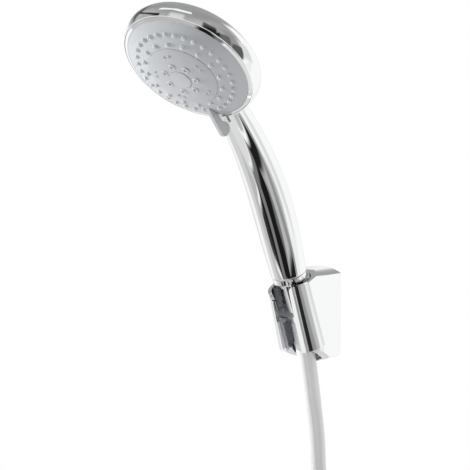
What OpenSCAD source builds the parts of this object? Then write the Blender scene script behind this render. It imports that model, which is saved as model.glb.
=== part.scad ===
// Shower handset with a three-spray head, seated in its wall bracket, with its hose.
// Millimetres. The wall is the plane Y = 0, the set stands out towards -Y, +Z is up,
// and the origin is the middle of the bracket's two wall screws.

/* [Head] */
// Radius of the grey spray face
face_r = 46.5; // [40:0.5:60]
// How far the domed face rises in front of its edge
face_rise = 11.4; // [6:0.2:14]
// Thickness of the spray face
face_t = 2.4; // [2:0.1:3]
// How far the chromed head swells past the edge of the face
head_over = 5.5; // [4.5:0.1:7]
// Depth of the head's widest circle behind the edge of the face
head_waist = 9; // [8:0.5:12]
// Depth of the back of the head behind its widest circle
head_back = 21; // [19:0.5:26]
// Angle of the spray direction below the horizontal
spray_angle = 46; // [40:1:50]
// Wall of the head and of the grip
shell_wall = 2.5; // [2:0.1:3]

/* [Grip] */
// Height of the middle of the face above the end of the grip
head_rise_z = 154.2; // [148:1:172]
// Distance of the middle of the face in front of the end of the grip
head_reach = 130.2; // [120:1:150]
// Radius of the grip at its lower end
grip_end_r = 13.8; // [13.5:0.1:14.5]
// Fullness of the grip in its lower half, where the palm holds it
grip_full_r = 18.6; // [17:0.1:20]
// Fullness of the grip in its upper half
grip_upper_r = 14.7; // [13.5:0.1:16]
// Radius of the neck where it enters the head
neck_r = 11; // [10.5:0.1:12]

/* [Spray selector] */
// Radius of the circle of the outer nozzles
outer_ring_r = 37.2; // [36.5:0.1:38]
// Number of outer nozzles
outer_count = 32; // [24:1:34]
// Radius of the circle of the inner nozzles
inner_ring_r = 30; // [29.6:0.1:30.4]
// Number of inner nozzles
inner_count = 16; // [12:1:20]
// Radius of a soft nozzle at its foot
nozzle_r = 1.65; // [1.2:0.05:1.8]
// Height of a soft nozzle above the face
nozzle_h = 1.7; // [0.8:0.1:2]
// Radius of the plate in the middle of the face
plate_r = 26.8; // [26:0.1:27.5]
// Radius of the circle of the large jets
jet_ring_r = 12.2; // [12:0.1:13]
// Number of large jets
jet_count = 7; // [5:1:8]
// Radius of the circle of the paired fine jets
mist_ring_r = 20.7; // [20:0.1:22]
// Thickness of the selector lever
lever_t = 3.2; // [3:0.1:5]
// How far the selector lever reaches past the edge of the face
lever_over = 17.5; // [16:0.5:21]

/* [Bracket] */
// Distance from the wall to the lower end of the grip
stand_off = 45; // [44:0.5:55]
// Lean of the grip's lower end away from upright
tilt = 22.5; // [20:0.5:25]
// Height of the bracket at the wall
base_h = 74; // [72:1:85]
// Half width of the bracket at the wall
base_hw = 19.5; // [19:0.5:24]
// Room round the end of the grip in the cradle's bore
grip_room = 2.4; // [2.2:0.1:3]
// Wall of the cradle at its top
cradle_top_wall = 2.1; // [1.8:0.1:4]
// Wall of the cradle at its foot
cradle_foot_wall = 4.5; // [4:0.1:6]
// Distance from the end of the grip to the foot of the cradle, along the bore
cradle_len = 59.7; // [57:1:64]
// Width of the front slot that the hose passes through
slot_w = 17; // [16:0.1:18]
// Spacing of the two wall screws
screw_spacing = 40; // [36:1:44]
// Radius of the wall screw holes
screw_hole_r = 2.3; // [2:0.05:2.6]
// Thickness of the hidden wall plate
plate_t = 4; // [3.5:0.1:5]

/* [Hose] */
// Outer radius of the hose
hose_r = 7.3; // [6.5:0.1:7.6]
// Length of the conical nut below the grip
nut_len = 40; // [38:0.5:43]
// Radius of the half-inch thread
thread_r = 10.4; // [10.3:0.05:10.5]
// Radius of the middle of the stored coil's turns
coil_r = 80; // [75:1:84]
// Degrees that the stored coil turns through
coil_turn = 870; // [780:10:960]

/* [Hidden] */
// Named clearances
fit = 0.05;        // round parts that turn or slide in each other, per side
gap = 0.4;         // parts of different bodies that pass each other
seat_gap = 0.3;    // between the conical nut and its seat
play = 0.1;        // parts of one body that are laid beside each other

// The end of the grip, and the cradle's axis through it
grip_z = 34.5;
head_r = face_r + head_over;
lever_reach = face_r + lever_over;
cradle_bore_r = grip_end_r + grip_room;
cradle_top_r = cradle_bore_r + cradle_top_wall;
cradle_foot_r = cradle_bore_r + cradle_foot_wall;
trim_w = 2.6;
trim_in_r = face_r + gap;
trim_out_r = trim_in_r + trim_w;
dome_r = (face_r * face_r + face_rise * face_rise) / (2 * face_rise);
post_r = 6;
valve_r = 36;

lip_depth = 1;
manifold_z = -13;              // front of the manifold
plate_z = manifold_z + 1.4;    // back of the valve plate
plate_th = 2.2;
neck_post_r = 3.5;
cap_r = 8;
lever_angle = -87.3;
face_mark = -83;               // line on the face that its nozzles and jets are laid out from
mist_half = 6.1;               // half the angle between the two fine jets of a pair
spigot_h = 20;
pipe_r = 5;
pipe_bore_r = 3.6;
pipe_from = 0.1;

// Stations down the cradle's axis from the end of the grip
flange_h = 6;
flange_r = grip_end_r - 0.3;
cone_top_r = hose_r + 3;
cone_foot_r = hose_r + 1.1;
thread_len = 4.8;
washer_r = 8.6;
washer_t = 1.5;
ferrule_t = 1.5;
sleeve_len = 16.2;
hose_start = thread_len + washer_t + ferrule_t + sleeve_len;
seat_top = 32.2;
seat_foot = 37.2;
liner_r = cradle_bore_r - fit;
liner_wall = 2.7;
liner_foot = cradle_len + 2;
hose_pass_r = hose_r + 3;
base_depth = 23;
arch = 5;
foot_knee = 10;
foot_edge = [-8.9, 0.9 - base_h / 2];    // where the slope of the foot meets the lock screw's seat
arm_drop = 3.8;    // top of the right arm beside the slot, below the end of the grip
arm_round = 4;     // rounding of that corner
left_drop = 12;    // the same for the left arm, which is shorter
left_round = 6.5;
function cone_r(s) =
    cone_top_r + (cone_foot_r - cone_top_r) * (s - flange_h) / (nut_len - flange_h);
channel_r = cone_r(seat_foot) + seat_gap;

// The middle of the spray face, and the point and direction where the neck enters the head
head_c = [0, -stand_off - head_reach, grip_z + head_rise_z];
face_n = [0, -cos(spray_angle), -sin(spray_angle)];
face_v = [0, sin(spray_angle), -cos(spray_angle)];
neck_depth = 17;
neck_in = face_r - 1.5;
neck_end = head_c + neck_in * face_v - neck_depth * face_n;
grip_end = [0, -stand_off, grip_z];
grip_up = [0, -sin(tilt), cos(tilt)];

// The grip follows one cubic curve, and so does its radius
grip_curve = [grip_end, grip_end + 57.3 * grip_up, neck_end + 70 * face_v, neck_end];
grip_radii = [grip_end_r, grip_full_r, grip_upper_r, neck_r];
grip_rings = 26;
grip_sides = 36;
function cubic(p, t) =
    pow(1 - t, 3) * p[0] + 3 * t * pow(1 - t, 2) * p[1] + 3 * t * t * (1 - t) * p[2] + t * t * t * p[3];
function slope(p, t) =
    pow(1 - t, 2) * (p[1] - p[0]) + 2 * t * (1 - t) * (p[2] - p[1]) + t * t * (p[3] - p[2]);
function unit(v) = v / norm(v);

// Route of the free hose: down the cradle's axis, then down the wall, then round to the coil
hose_from = grip_end - hose_start * grip_up;
hose_route = [
    hose_from,
    [0, -27, -9],
    [0, -21, -28],
    [0.2, -16.4, -48],
    [0.5, -11.7, -72],
    [1.9, -8.8, -98],
    [3, -8, -125],
    [5.2, -8, -143],
    [11.5, -8, -160],
    [22.5, -8, -174.5],
    [37, -8, -185.5],
    [44, -8, -189.5]
];
coil_start = [44, -8, -189.5];
coil_pitch = 2 * hose_r + 1;
coil_end_out = 8;
coil_rings = 24;
coil_from = 60;
coil_dir = [sin(coil_from), 0, -cos(coil_from)];
coil_mid = coil_start + 2 * hose_r * coil_dir - coil_r * [cos(coil_from), 0, sin(coil_from)];
coil_out = [sin(coil_from - coil_turn), 0, -cos(coil_from - coil_turn)];
coil_end = coil_at(coil_turn) + 2 * hose_r * coil_out;

$fn = 96;

// ---- frames ----

// Places its children on the cradle's axis, with z = 0 at the end of the grip and z up the grip
module on_axis() {
    translate(grip_end) rotate([tilt, 0, 0]) children();
}

// Places its children on the head, with z = 0 at the edge of the face and z along the spray
module on_head() {
    translate(head_c) rotate([90 + spray_angle, 0, 0]) children();
}

// A ring or tube from z0 up to z1
module ring(r_out, r_in, z0, z1) {
    translate([0, 0, z0])
        difference() {
            cylinder(r = r_out, h = z1 - z0);
            translate([0, 0, -1]) cylinder(r = r_in, h = z1 - z0 + 2);
        }
}

// Repeats its children round the z axis
module around(count, from = 0) {
    for (i = [0 : count - 1])
        rotate([0, 0, from + i * 360 / count]) children();
}

// ---- swept tubes ----

// A closed tube through a list of rings, each a list of the same number of points
module skin(rings) {
    n = len(rings[0]);
    m = len(rings);
    polyhedron(
        points = [for (r = rings) each r],
        faces = concat(
            [[for (k = [0 : n - 1]) k]],
            [for (i = [0 : m - 2], k = [0 : n - 1], h = [0, 1])
                h == 0
                    ? [i * n + k, (i + 1) * n + k, i * n + (k + 1) % n]
                    : [i * n + (k + 1) % n, (i + 1) * n + k, (i + 1) * n + (k + 1) % n]],
            [[for (k = [n - 1 : -1 : 0]) (m - 1) * n + k]]
        )
    );
}

// A ring of n points of radius r about p, square to direction d, with its first point towards side
function ring_at(p, d, side, r, n) =
    let (v = unit(cross(d, side)), u = cross(v, d))
    [for (k = [0 : n - 1]) p + r * (cos(360 * k / n) * u + sin(360 * k / n) * v)];

// The grip's rings from t0 to t1, with so much taken off its radius
function grip_skin(t0, t1, less, rings, sides) =
    [for (i = [0 : rings])
        let (t = t0 + (t1 - t0) * i / rings)
        ring_at(cubic(grip_curve, t), unit(slope(grip_curve, t)), [1, 0, 0],
            cubic(grip_radii, t) - less, sides)];

// Rings that carry the neck on into the head, smaller and smaller, till they end inside its back
function root_skin(less) =
    [for (k = [[4, 0.8, 0.93], [9, 2.2, 0.8]])
        ring_at(neck_end - k[0] * face_v + k[1] * face_n, -face_v, [1, 0, 0],
            max(k[2] * neck_r - less, pipe_r + 1.3), grip_sides)];

// The same for a tube of one radius along the grip's curve
function grip_pipe(t0, t1, r, rings, sides) =
    [for (i = [0 : rings])
        let (t = t0 + (t1 - t0) * i / rings)
        ring_at(cubic(grip_curve, t), unit(slope(grip_curve, t)), [1, 0, 0], r, sides)];

// A point of a smooth curve through the points p, at i whole points and a share t
function through(p, i, t) =
    let (
        a = p[max(i - 1, 0)], b = p[i], c = p[i + 1], d = p[min(i + 2, len(p) - 1)],
        m0 = (c - a) / 2, m1 = (d - b) / 2
    )
    (2 * t * t * t - 3 * t * t + 1) * b + (t * t * t - 2 * t * t + t) * m0
    + (3 * t * t - 2 * t * t * t) * c + (t * t * t - t * t) * m1;

// ---- bracket ----

// Front outline of the bracket at the wall: straight sides, arched top and foot
module base_outline(less = 0) {
    intersection() {
        square([2 * (base_hw - less), base_h], center = true);
        under_arch(less);
        mirror([0, 1]) under_arch(less);
    }
}

// All that lies under the top arch
module under_arch(less) {
    rise_r = (base_hw * base_hw + arch * arch) / (2 * arch);
    translate([0, base_h / 2 - rise_r - less]) {
        circle(r = rise_r);
        translate([-rise_r, -base_h - 40]) square([2 * rise_r, base_h + 40]);
    }
}

// The top arch of the bracket, carried straight out from the wall
module top_arch() {
    translate([0, 1, 0]) rotate([90, 0, 0])
        linear_extrude(height = stand_off + 40) under_arch(0);
}

// A point of the side view, y behind the cradle's axis and s down it from the end of the grip
function side_at(y, s) =
    [-stand_off + s * sin(tilt) + y * cos(tilt), grip_z - s * cos(tilt) + y * sin(tilt)];

// Side outline of the bracket: its top falls away towards the front of the cradle, and its
// underside slopes up from the wall to a knee, where the square foot of the cradle begins
module side_outline() {
    top = base_h / 2;
    knee = side_at(-foot_knee, cradle_len);
    translate([-40, 0, 0]) rotate([90, 0, 90])
        linear_extrude(height = 80)
            polygon([
                [1, top], [-14, top],
                [-24, top - 1.2], [-34, top - 4.2], [-45, top - 8.7],
                [-55, top - 11.3], [-66, top - 14.5], [-80, top - 18.6],
                side_at(-60, cradle_len), knee,
                knee + (foot_edge - knee) * (1 - knee.x) / (foot_edge.x - knee.x)
            ]);
}

// What is cut off the corner of the right arm beside the slot, to round it
module arm_corner(drop, round_r) {
    translate([slot_w / 2, 0, -drop]) rotate([90, 0, 0])
        linear_extrude(height = 40)
            difference() {
                translate([-0.5, -round_r]) square([round_r + 0.5, 2 * round_r]);
                translate([round_r, -round_r]) circle(r = round_r);
            }
}

// What is cut off the left arm, which is the shorter one: a level cut with a ramp behind it
module left_cut() {
    translate([-40, 0, 0]) rotate([90, 0, 90])
        linear_extrude(height = 40)
            polygon([
                [-40, -left_drop], [2, -left_drop], [15, -left_drop + 10],
                [22, 4], [22, 30], [-40, 30]
            ]);
}

module bracket_body() {
    intersection() {
        hull() {
            on_axis() translate([0, 0, -cradle_len])
                cylinder(r1 = cradle_foot_r, r2 = cradle_top_r, h = cradle_len + 6, $fn = 72);
            translate([0, -base_depth, 0]) rotate([-90, 0, 0])
                linear_extrude(height = base_depth) base_outline($fn = 72);
        }
        top_arch();
        side_outline();
    }
}

// The recess in the back of the bracket that fits over the wall plate
module plate_recess() {
    translate([0, -plate_t - play, 0]) rotate([-90, 0, 0])
        linear_extrude(height = plate_t + 2) base_outline(3);
    boss_space(play);
}

// The block on the wall plate that takes the lock screw
module boss_space(more = 0) {
    translate([-5 - more, -8.5 - more, -base_h / 2 + 4])
        cube([10 + 2 * more, 6 + more, 7 + more]);
}

module bracket_shell() {
    color("gainsboro")
    difference() {
        bracket_body();
        plate_recess();
        on_axis() translate([0, 0, -liner_foot]) cylinder(r = cradle_bore_r, h = 130);
        on_axis() translate([0, 0, -90]) cylinder(r = hose_pass_r, h = 90);
        on_axis() translate([-slot_w / 2, -60, -90]) cube([slot_w, 60, 130]);
        on_axis() arm_corner(arm_drop, arm_round);
        on_axis() mirror([1, 0, 0]) arm_corner(left_drop, left_round);
        on_axis() left_cut();
        translate([0, -5.5, -base_h / 2 - 2]) cylinder(r = 2.1, h = 8);
        translate([0, -5.5, -base_h / 2 - 3]) cylinder(r = 3.4, h = 3.8);
        translate([-13, -14, 8]) cube([26, 14, 19]);
    }
}

module wall_plate() {
    color("dimgray")
    difference() {
        union() {
            translate([0, -plate_t, 0]) rotate([-90, 0, 0])
                linear_extrude(height = plate_t) base_outline(3 + play);
            boss_space();
        }
        for (s = [-1, 1])
            translate([0, 0, s * screw_spacing / 2]) rotate([90, 0, 0]) {
                translate([0, 0, -1]) cylinder(r = screw_hole_r, h = plate_t + 2);
                translate([0, 0, plate_t - 2.2])
                    cylinder(r1 = screw_hole_r, r2 = screw_hole_r + 2.4, h = 2.4);
            }
        translate([0, -5.5, -base_h / 2]) cylinder(r = 1.5, h = 10);
    }
}

module lock_screw() {
    color("silver")
    translate([0, -5.5, -base_h / 2]) {
        difference() {
            translate([0, 0, -0.6]) cylinder(r = 3.2, h = 1.4);
            translate([0, 0, -1]) cylinder(r = 1.2, h = 1.2, $fn = 6);
        }
        cylinder(r = 1.5, h = 9);
    }
}

// Grey bush in the lower half of the cradle: a conical seat for the nut over an open channel
module cradle_liner() {
    color("slategray")
    on_axis()
        difference() {
            translate([0, 0, -liner_foot]) cylinder(r = liner_r, h = liner_foot - seat_top);
            translate([0, 0, -seat_foot])
                cylinder(r1 = channel_r, r2 = liner_r - 0.6, h = seat_foot - seat_top);
            translate([0, 0, -seat_top - 0.001]) cylinder(r = liner_r - 0.6, h = 20);
            translate([0, 0, -90]) cylinder(r = channel_r, h = 90);
            translate([0, 0, -90]) cylinder(r = liner_r - liner_wall, h = 90 - seat_foot - 2);
            translate([-slot_w / 2 + 0.5, -60, -90]) cube([slot_w - 1, 60, 130]);
        }
}

// ---- handset ----

// Solid of the back of the head: a rounded lip, the waist, and a quarter ellipse to the pole
module bowl(less, lip_r) {
    round_r = head_r - less - lip_r;
    rotate_extrude()
        polygon(concat(
            [[0, -lip_depth]],
            [for (a = [0 : 15 : 90])
                [lip_r + round_r * sin(a), -lip_depth - (head_waist - lip_depth) * (1 - cos(a))]],
            [for (a = [7.5 : 7.5 : 82.5])
                [(head_r - less) * cos(a), -head_waist - (head_back - less) * sin(a)]],
            [[0, -head_waist - head_back + less]]
        ));
}

module handset_shell() {
    color("gainsboro")
    difference() {
        union() {
            on_head() bowl(0, trim_out_r + 0.6, $fn = 72);
            skin(concat(grip_skin(0, 1, 0, grip_rings, grip_sides), root_skin(0)));
        }
        on_head() {
            bowl(shell_wall, trim_out_r - 0.2, $fn = 72);
            translate([0, 0, -head_waist]) cylinder(r = trim_out_r + fit, h = 20, $fn = 72);
            neck_stub(play);
        }
        skin(concat(grip_skin(0.12, 1, shell_wall, 16, grip_sides), root_skin(shell_wall)));
        on_axis() translate([0, 0, -1]) cylinder(r = thread_r, h = spigot_h + 5);
    }
}

module head_trim_ring() {
    color("silver")
    on_head()
        rotate_extrude() {
            translate([trim_in_r, -6]) square([trim_w, 5.2]);
            intersection() {
                translate([trim_in_r + trim_w / 2, -0.8]) circle(r = trim_w / 2, $fn = 48);
                translate([trim_in_r, -0.8]) square([trim_w, trim_w]);
            }
        }
}

// Threaded end of the handset that the hose screws onto
module inlet_spigot() {
    color("silver")
    on_axis()
        difference() {
            union() {
                translate([0, 0, -thread_len]) cylinder(r = thread_r - 0.9, h = thread_len + 1);
                cylinder(r = thread_r, h = spigot_h);
                for (i = [0 : 2])
                    translate([0, 0, -1.4 - i * 1.5])
                        cylinder(r1 = thread_r - 0.9, r2 = thread_r, h = 0.8);
            }
            translate([0, 0, -thread_len - 1]) cylinder(r = 7, h = 6);
            translate([0, 0, -thread_len - 1]) cylinder(r = pipe_bore_r, h = 40);
            translate([0, 0, spigot_h - 4]) cylinder(r = pipe_r + play, h = 10);
        }
}

// Round water strainer with nine holes, in the mouth of the spigot
module inlet_filter() {
    color("dimgray")
    on_axis() translate([0, 0, -thread_len + 2.6])
        difference() {
            cylinder(r = 7 - fit, h = 2.4);
            translate([0, 0, -1]) around(8) translate([4.2, 0, 0]) cylinder(r = 1, h = 5, $fn = 24);
            translate([0, 0, -1]) cylinder(r = 1.2, h = 5, $fn = 24);
        }
}

// Water pipe through the grip, from the spigot to the manifold
module water_tube() {
    color("white")
    difference() {
        skin(grip_pipe(pipe_from, 1, pipe_r, 18, 20));
        skin(grip_pipe(pipe_from - 0.02, 1.02, pipe_bore_r, 18, 20));
    }
}

// ---- head ----

// Fixed water manifold in the head, with the stepped post that the face turns on
// The stub that takes the water from the neck into the manifold
module neck_stub(more) {
    translate([0, -28, -neck_depth]) rotate([90, 0, 0])
        cylinder(r = pipe_r - 0.5 + more, h = neck_in - 28);
}

module water_manifold() {
    color("dimgray")
    on_head()
        difference() {
            union() {
                translate([0, 0, manifold_z - 5]) cylinder(r = 42, h = 5);
                translate([0, 0, manifold_z - 1]) cylinder(r = post_r, h = 9);
                translate([0, 0, manifold_z - 1]) cylinder(r = neck_post_r, h = 11);
                neck_stub(0);
                translate([0, 0, manifold_z - 8]) cylinder(r = 30, h = 4);
            }
            translate([0, -10, -neck_depth]) rotate([90, 0, 0]) cylinder(r = pipe_bore_r, h = neck_in);
            translate([0, -22, -neck_depth]) cylinder(r = 4, h = 10);
            translate([0, 0, manifold_z - 4]) cylinder(r = 1.6, h = 20);
            rotate([0, 0, 60]) translate([24, 0, manifold_z - 4]) cylinder(r = 2 + fit, h = 10);
        }
}

// Rubber cup that seals the manifold's port against the valve plate
module selector_seal() {
    color("black")
    on_head() translate([0, -22, 0]) ring(4 - fit, 2.6, manifold_z - 1.5, plate_z - gap);
}

// Spring and pin under the valve plate that give the selector its clicks
module detent_spring() {
    color("silver")
    on_head() rotate([0, 0, 60]) translate([24, 0, 0]) ring(1.9, 1.2, manifold_z - 4, manifold_z - 1.5);
}

module detent_pin() {
    color("silver")
    on_head() rotate([0, 0, 60]) translate([24, 0, manifold_z - 1.5]) {
        cylinder(r = 2, h = 1.5);
        translate([0, 0, 1.5]) cylinder(r1 = 2, r2 = 1, h = plate_z - gap - manifold_z);
    }
}

module face_screw() {
    color("silver")
    on_head()
        difference() {
            union() {
                translate([0, 0, manifold_z - 3]) cylinder(r = 1.6 - fit, h = 13.1);
                translate([0, 0, manifold_z + 10 + fit]) cylinder(r = 4.6, h = 2.2);
            }
            translate([0, 0, manifold_z + 11.2]) cylinder(r = 1.5, h = 3, $fn = 6);
        }
}

// The space between the domed face's skin, moved by up, and another below it
module dome_layer(up, down, r) {
    intersection() {
        translate([0, 0, face_rise - dome_r])
            difference() {
                sphere(r = dome_r + up);
                sphere(r = dome_r + down);
            }
        translate([0, 0, -1]) cylinder(r = r, h = face_rise + 10);
    }
}

// Height of the face's skin at radius r
function dome_z(r) = face_rise - dome_r + sqrt(dome_r * dome_r - r * r);

// Puts its children at the outer nozzles; the one under the lever is left out
module outer_places() {
    for (i = [1 : outer_count - 1])
        rotate([0, 0, face_mark + i * 360 / outer_count]) translate([outer_ring_r, 0, 0]) children();
}

// Puts its children at the inner nozzles
module inner_places() {
    around(inner_count, face_mark + 180 / inner_count) translate([inner_ring_r, 0, 0]) children();
}

// Puts its children at the large jets
module jet_places() {
    around(jet_count, face_mark + 180) translate([jet_ring_r, 0, 0]) children();
}

// Paired fine jets in the middle plate: two for each of five rays
module mist_places() {
    around(5, face_mark + 180)
        for (s = [-1, 1])
            rotate([0, 0, s * mist_half]) translate([mist_ring_r, 0, 0]) children();
}

// Grey domed face that turns with the lever; a hub on its back runs on the manifold's post
module spray_face() {
    color("darkgray")
    on_head()
        difference() {
            union() {
                dome_layer(0, -face_t, face_r);
                ring(face_r, face_r - 2.2, -6, -0.5);
                translate([0, 0, plate_z + plate_th])
                    cylinder(r = 9, h = face_rise - face_t / 2 - plate_z - plate_th);
            }
            dome_layer(2, -1, plate_r + fit);
            outer_places() translate([0, 0, -3]) cylinder(r = nozzle_r + fit, h = 30, $fn = 24);
            inner_places() translate([0, 0, -3]) cylinder(r = nozzle_r + fit, h = 30, $fn = 24);
            jet_places() translate([0, 0, 5]) cylinder(r = 2.2 + fit, h = 20, $fn = 32);
            mist_places() cylinder(r = 0.9 + fit, h = 20, $fn = 24);
            translate([0, 0, manifold_z]) cylinder(r = post_r + fit, h = 8 + fit);
            translate([0, 0, manifold_z]) cylinder(r = neck_post_r + fit, h = 12);
            translate([0, 0, manifold_z + 10]) cylinder(r = 5, h = 30);
        }
}

// Thumb lever: a thin upright fin that rides over the trim and reaches past the head
module selector_lever() {
    from_r = outer_ring_r - 2.2;
    mid_r = (from_r + face_r) / 2;
    low_r = head_r + 0.8;
    color("gray")
    on_head() rotate([0, 0, lever_angle]) translate([0, lever_t / 2, 0]) rotate([90, 0, 0])
        linear_extrude(height = lever_t)
            polygon([
                [from_r, dome_z(from_r) + play],
                [mid_r, dome_z(mid_r) + play],
                [face_r, dome_z(face_r) + play],
                [face_r, 0.9],
                [low_r, 0.9],
                [low_r + 0.9, 0],
                [low_r + 3.6, -1.9],
                [lever_reach - 4.5, -2.6],
                [lever_reach - 1.4, -1.2],
                [lever_reach, 1.8],
                [lever_reach - 0.4, 5.2],
                [lever_reach - 2, 7.4],
                [lever_reach - 4.5, 8.2],
                [lever_reach - 9, 7.9],
                [from_r + 1, dome_z(from_r + 1) + 1.2]
            ]);
}

// A soft ring under the face that the nozzles of one circle grow from
module mat(ring_r, half_w, depth = 1.4) {
    intersection() {
        dome_layer(-face_t - fit, -face_t - depth, ring_r + half_w);
        ring(ring_r + half_w, ring_r - half_w, -8, 20);
    }
}

// A soft conical nozzle through the face where its skin is at height z
module nozzle(z) {
    translate([0, 0, z - face_t - 1]) cylinder(r = nozzle_r, h = face_t + 1, $fn = 24);
    translate([0, 0, z]) cylinder(r1 = nozzle_r, r2 = nozzle_r - 0.5, h = nozzle_h, $fn = 24);
}

module outer_nozzles() {
    color("dimgray")
    on_head()
        difference() {
            union() {
                mat(outer_ring_r, 3.2);
                outer_places() nozzle(dome_z(outer_ring_r));
            }
            outer_places() translate([0, 0, -8]) cylinder(r = 0.5, h = 30, $fn = 16);
        }
}

module inner_nozzles() {
    color("dimgray")
    on_head()
        difference() {
            union() {
                mat(inner_ring_r, 3.2);
                inner_places() nozzle(dome_z(inner_ring_r));
            }
            inner_places() translate([0, 0, -8]) cylinder(r = 0.5, h = 30, $fn = 16);
        }
}

// Thin domed plate let into the middle of the face
module centre_plate() {
    color("gray")
    on_head()
        difference() {
            dome_layer(0.3, -1 + fit, plate_r);
            cylinder(r = cap_r + fit, h = 30);
            jet_places() cylinder(r = 2.8 + fit, h = 30, $fn = 32);
            mist_places() cylinder(r = 1.3 + fit, h = 30, $fn = 24);
        }
}

// Carrier of the large jets
module jet_insert() {
    color("dimgray")
    on_head()
        difference() {
            union() {
                mat((jet_ring_r + 12.6) / 2, (jet_ring_r - 5.6) / 2, 1.6);
                jet_places() {
                    translate([0, 0, dome_z(jet_ring_r) - face_t - 1]) cylinder(r = 2.2, h = face_t + 1, $fn = 32);
                    translate([0, 0, dome_z(jet_ring_r) - 0.6]) cylinder(r = 2.8, h = 1.5, $fn = 32);
                }
            }
            jet_places() translate([0, 0, -8]) cylinder(r = 1.1, h = 30, $fn = 24);
        }
}

// Five pairs of fine jets on one carrier
module mist_nozzles() {
    color("black")
    on_head()
        difference() {
            union() {
                mat(mist_ring_r, 3.6);
                mist_places() {
                    translate([0, 0, dome_z(mist_ring_r) - face_t - 1]) cylinder(r = 0.9, h = face_t + 1, $fn = 24);
                    translate([0, 0, dome_z(mist_ring_r) - 0.5]) cylinder(r = 1.3, h = 1.3, $fn = 24);
                }
            }
            mist_places() translate([0, 0, -8]) cylinder(r = 0.4, h = 30, $fn = 16);
        }
}

// Round cap over the screw
module centre_cap() {
    color("silver")
    on_head() {
        dome_layer(0.9, -1 + fit, cap_r);
        translate([0, 0, face_rise - 4]) cylinder(r = 5 - fit, h = 3.1);
    }
}

// Disc behind the face whose ports choose the spray
module valve_plate() {
    color("white")
    on_head()
        difference() {
            translate([0, 0, plate_z]) cylinder(r = face_r - 0.5, h = plate_th);
            translate([0, 0, plate_z - 1]) cylinder(r = post_r + gap, h = 10);
            around(3, -120) translate([22, 0, plate_z - 1]) cylinder(r = 2.6, h = 10, $fn = 32);
            for (a = [30 : 30 : 90])
                rotate([0, 0, a]) translate([24, 0, plate_z - 1]) cylinder(r = 2.3, h = 1.8, $fn = 32);
        }
}

// Rubber ring between the face's rim and the valve plate
module face_seal() {
    color("black")
    on_head() ring(face_r - 0.6, face_r - 2, plate_z + plate_th, -6);
}

// ---- hose ----

// Conical hose nut with its grip ring
module cone_nut() {
    color("gainsboro")
    on_axis()
        rotate_extrude()
            difference() {
                polygon([
                    [0, -fit], [flange_r - 0.5, -fit], [flange_r, -0.6],
                    [flange_r, -flange_h + 1.4], [flange_r - 1.4, -flange_h],
                    [cone_top_r, -flange_h], [cone_foot_r, -nut_len], [0, -nut_len]
                ]);
                translate([0, -thread_len - seat_gap]) square([thread_r + fit, 40]);
                translate([0, -thread_len - washer_t - ferrule_t - fit]) square([washer_r + fit, 40]);
                translate([0, -60]) square([hose_r + 0.35, 60]);
            }
}

module hose_washer() {
    color("black")
    on_axis() ring(washer_r, 4.2, -thread_len - washer_t, -thread_len);
}

// Flanged sleeve crimped on the hose's upper end
module hose_top_ferrule() {
    color("silver")
    on_axis() {
        ring(washer_r, 4.2, -thread_len - washer_t - ferrule_t, -thread_len - washer_t);
        ring(hose_r + 0.1, 4.2, -hose_start, -thread_len - washer_t - ferrule_t);
    }
}

// Free hose from the ferrule to the coil
hose_steps = 3;
hose_line = concat(
    [for (i = [0 : len(hose_route) - 2], j = [0 : hose_steps - 1]) through(hose_route, i, j / hose_steps)],
    [coil_start]
);
function along(p, i) = unit(p[min(i + 1, len(p) - 1)] - p[max(i - 1, 0)]);

module hose_run() {
    last = len(hose_line) - 1;
    color("silver")
    skin([for (i = [0 : last])
        ring_at(hose_line[i], i == 0 ? -grip_up : i == last ? coil_dir : along(hose_line, i),
            [1, 0, 0], hose_r, 12)]);
}

// The stored length: one tube round and round, flat against the wall
function coil_at(a) =
    let (out = max(0, (a - coil_turn + 150) / 150))
    coil_mid + [
        coil_r * cos(coil_from - a),
        -coil_pitch * a / 360 - coil_end_out * out * out * (3 - 2 * out),
        coil_r * sin(coil_from - a)
    ];

module hose_coil() {
    step = 360 / coil_rings;
    line = concat(
        [coil_start],
        [for (a = [0 : step : coil_turn]) coil_at(a)],
        [coil_end]
    );
    last = len(line) - 1;
    color("silver")
    skin([for (i = [0 : last])
        ring_at(line[i], i <= 1 ? coil_dir : i >= last - 1 ? coil_out : along(line, i),
            line[i] - coil_mid, hose_r, 6)]);
}

// Strap round the three turns at the coil's side
module coil_tie() {
    a0 = coil_from;
    p = coil_at(a0);
    q = coil_at(a0 + 720);
    color("dimgray")
    translate([p[0], 0, p[2] - 5])
        linear_extrude(height = 10)
            difference() {
                loop(p[1], q[1], hose_r + 1.6);
                loop(p[1], q[1], hose_r + 0.6);
            }
}

// A flat loop round circles of radius r at y0 and y1
module loop(y0, y1, r) {
    translate([0, y0]) circle(r = r, $fn = 48);
    translate([0, y1]) circle(r = r, $fn = 48);
    translate([-r, y1]) square([2 * r, y0 - y1]);
}

// Places its children at the far end of the hose, with z along it
module on_hose_end() {
    translate(coil_end) rotate([0, -90, 0]) children();
}

module hose_end_ferrule() {
    color("silver")
    on_hose_end() {
        ring(hose_r + 0.5, 4.2, 0, 12);
        ring(washer_r, 4.2, 12, 12 + ferrule_t);
    }
}

module valve_washer() {
    color("black")
    on_hose_end() ring(washer_r, 4.2, 12 + ferrule_t, 12 + ferrule_t + washer_t);
}

// Hexagonal half-inch nut for the water valve
module valve_nut() {
    color("gainsboro")
    on_hose_end()
        difference() {
            intersection() {
                translate([0, 0, 6]) cylinder(r = 13.4, h = 16, $fn = 6);
                translate([0, 0, 6]) cylinder(r = 12.9, h = 16);
            }
            translate([0, 0, 0]) cylinder(r = hose_r + 0.5 + gap, h = 30);
            translate([0, 0, 12 - fit]) cylinder(r = washer_r + fit, h = 30);
            translate([0, 0, 12 + ferrule_t + washer_t]) cylinder(r = thread_r + fit, h = 30);
        }
}

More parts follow.
